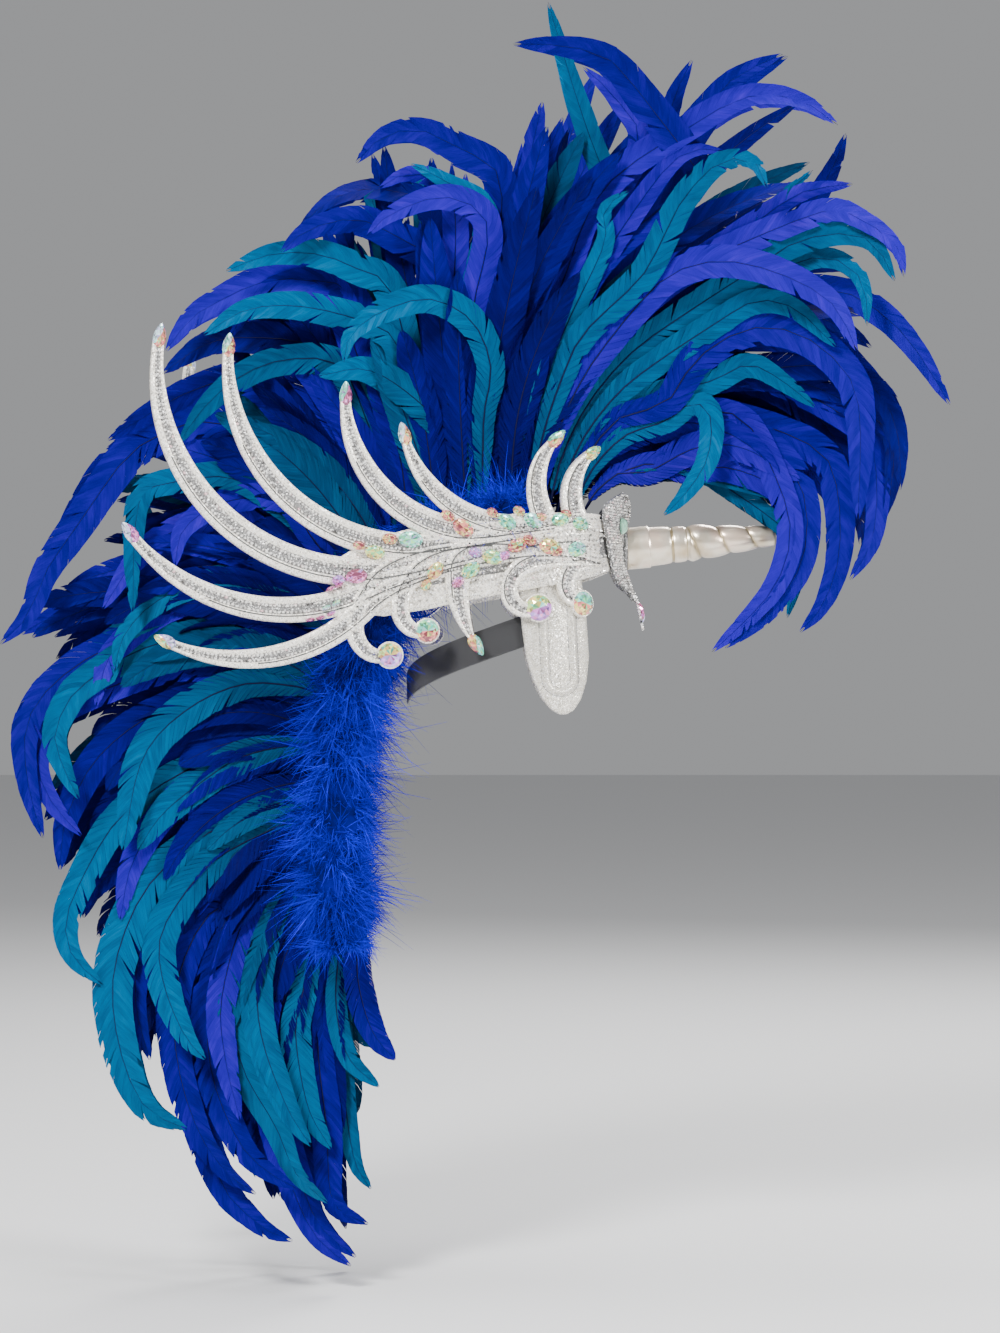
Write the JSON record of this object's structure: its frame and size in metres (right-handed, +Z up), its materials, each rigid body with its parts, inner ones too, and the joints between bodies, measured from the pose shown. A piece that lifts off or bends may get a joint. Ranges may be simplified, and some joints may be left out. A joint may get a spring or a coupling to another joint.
{
  "type": "showgirl feather headdress",
  "caption": "Showgirl headdress with glittered foam wings, aurora stones, a silver horn, a blue feather crest and marabou boa.",
  "frame": {"origin": "middle of the head opening, level with the temples", "axes": "+X the wearer's front, +Y the wearer's left, +Z up"},
  "size_m": [0.8274, 0.3219, 1.1213],
  "materials": {
    "silver_foam": "silver glitter foam",
    "dark_foam": "plain dark foam",
    "elastic": "black woven elastic",
    "pave": "clear foiled rhinestones on silver",
    "aurora_stone": "aurora coated foiled stones",
    "horn_silver": "pearly silver",
    "feather": "royal blue and turquoise feathers",
    "marabou": "fluffy blue marabou",
    "wire": "thin silver wire"
  },
  "bodies": {
    "root": {"boa_left_1": "marabou", "boa_left_2": "marabou", "boa_left_3": "marabou", "boa_right_1": "marabou", "boa_right_2": "marabou", "boa_right_3": "marabou", "crest_saddle": "dark_foam", "crest_spine": "dark_foam", "crown_band": "dark_foam", "elastic_strap": "elastic", "feather_fan_1": "feather", "feather_fan_2": "feather", "feather_fan_3": "feather", "feather_fan_4": "feather", "feather_fan_5": "feather", "feather_fan_6": "feather", "feather_fan_7": "feather", "feather_fan_8": "feather", "forehead_drop": "aurora_stone", "forehead_plate": "pave", "horn": "horn_silver", "plate_stone_left": "aurora_stone", "plate_stone_right": "aurora_stone", "rear_brace_left": "wire", "rear_brace_right": "wire", "scroll_stone_left_1": "aurora_stone", "scroll_stone_left_2": "aurora_stone", "scroll_stone_left_3": "aurora_stone", "scroll_stone_left_4": "aurora_stone", "scroll_stone_left_5": "aurora_stone", "scroll_stone_right_1": "aurora_stone", "scroll_stone_right_2": "aurora_stone", "scroll_stone_right_3": "aurora_stone", "scroll_stone_right_4": "aurora_stone", "scroll_stone_right_5": "aurora_stone", "side_tab_left": "silver_foam", "side_tab_right": "silver_foam", "spike_stone_left_1": "aurora_stone", "spike_stone_left_2": "aurora_stone", "spike_stone_left_3": "aurora_stone", "spike_stone_left_4": "aurora_stone", "spike_stone_left_5": "aurora_stone", "spike_stone_left_6": "aurora_stone", "spike_stone_left_7": "aurora_stone", "spike_stone_left_8": "aurora_stone", "spike_stone_right_1": "aurora_stone", "spike_stone_right_2": "aurora_stone", "spike_stone_right_3": "aurora_stone", "spike_stone_right_4": "aurora_stone", "spike_stone_right_5": "aurora_stone", "spike_stone_right_6": "aurora_stone", "spike_stone_right_7": "aurora_stone", "spike_stone_right_8": "aurora_stone", "stone_field_left": "pave", "stone_field_right": "pave", "wing_left": "silver_foam", "wing_right": "silver_foam"}
  },
  "joints": []
}
